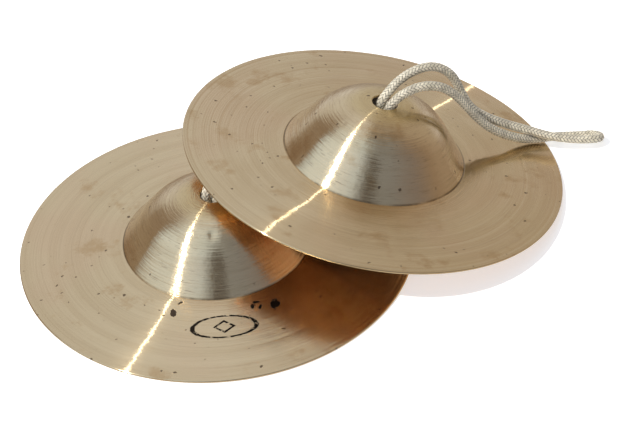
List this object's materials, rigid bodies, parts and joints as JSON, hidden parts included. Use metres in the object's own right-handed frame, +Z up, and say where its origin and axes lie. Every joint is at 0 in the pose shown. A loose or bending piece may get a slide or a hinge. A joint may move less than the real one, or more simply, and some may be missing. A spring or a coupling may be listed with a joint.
{
  "type": "pair of hand cymbals",
  "caption": "Round spun brass hand cymbals with raised bells, one leaning on the other, each held by a doubled braided cord that is knotted inside its bell.",
  "frame": {"origin": "middle of the two cymbals' box, on the floor they stand on", "axes": "+X from the lower cymbal's middle towards the upper cymbal's, +Z up"},
  "size_m": [0.2368, 0.15, 0.0482],
  "materials": {
    "brass": "lathe-turned and polished, with fine concentric lines",
    "braided_cord": "smooth braided silver-white cord"
  },
  "bodies": {
    "lower_cymbal": {"lower_cymbal": "brass"},
    "upper_cymbal": {"upper_cymbal": "brass"},
    "lower_loop": {"lower_cord": "braided_cord", "lower_cord_knot": "braided_cord"},
    "upper_knot": {"upper_cord_knot": "braided_cord", "upper_cord_neck": "braided_cord"},
    "upper_loop": {"upper_cord": "braided_cord"}
  },
  "joints": [
    {"name": "upper_lift", "type": "slide", "parent": "lower_cymbal", "child": "upper_cymbal", "axis": [0, 0, 1], "range_m": [0, 0.12]},
    {"name": "upper_loop_swivel", "type": "hinge", "parent": "upper_cymbal", "child": "upper_knot", "pos_m": [0.03982, -0.00102, 0.03832], "axis": [0.1981, -0.0435, 0.9792], "continuous": true},
    {"name": "upper_loop_raise", "type": "hinge", "parent": "upper_knot", "child": "upper_loop", "pos_m": [0.03982, -0.00102, 0.03832], "axis": [-0.1745, -0.9846, -0.0085], "range_deg": [0, 60]},
    {"name": "lower_loop_swivel", "type": "hinge", "parent": "lower_cymbal", "child": "lower_loop", "pos_m": [-0.03384, 0, 0.0235], "axis": [0, 0, 1], "range_deg": [-10, 15]}
  ]
}
